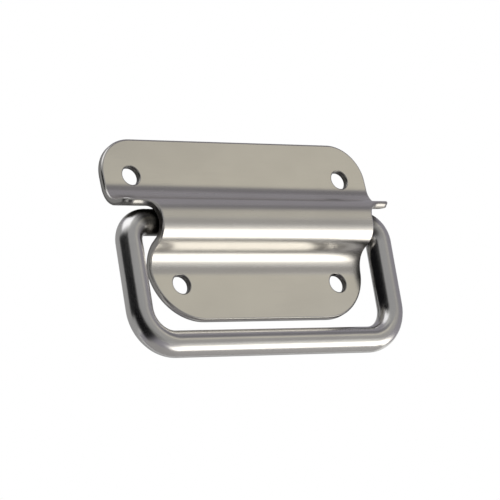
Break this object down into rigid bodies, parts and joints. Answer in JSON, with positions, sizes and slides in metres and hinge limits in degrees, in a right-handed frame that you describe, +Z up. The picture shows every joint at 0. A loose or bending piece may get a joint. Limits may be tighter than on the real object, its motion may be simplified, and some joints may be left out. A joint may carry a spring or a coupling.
{
  "type": "chest handle",
  "caption": "Pressed stainless plate with screw holes, whose rolled barrel holds a bent round-bar bail that hangs down and swings out to lift a chest.",
  "frame": {"origin": "on the plate's back face, midway between the two upper screw holes", "axes": "+X along the width, +Y into the chest and square to the back face, +Z up with the bail hanging below"},
  "size_m": [0.0965, 0.0132, 0.0673],
  "materials": {
    "plate_steel": "polished stainless sheet with a faint grain along its width",
    "bail_steel": "bright polished stainless bar"
  },
  "bodies": {
    "plate": {"mounting_plate": "plate_steel"},
    "bail": {"bail_handle": "bail_steel"}
  },
  "joints": [
    {"name": "bail_swing", "type": "hinge", "parent": "plate", "child": "bail", "pos_m": [0, -0.007, -0.0165], "axis": [-1, 0, 0], "range_deg": [0, 90]}
  ]
}
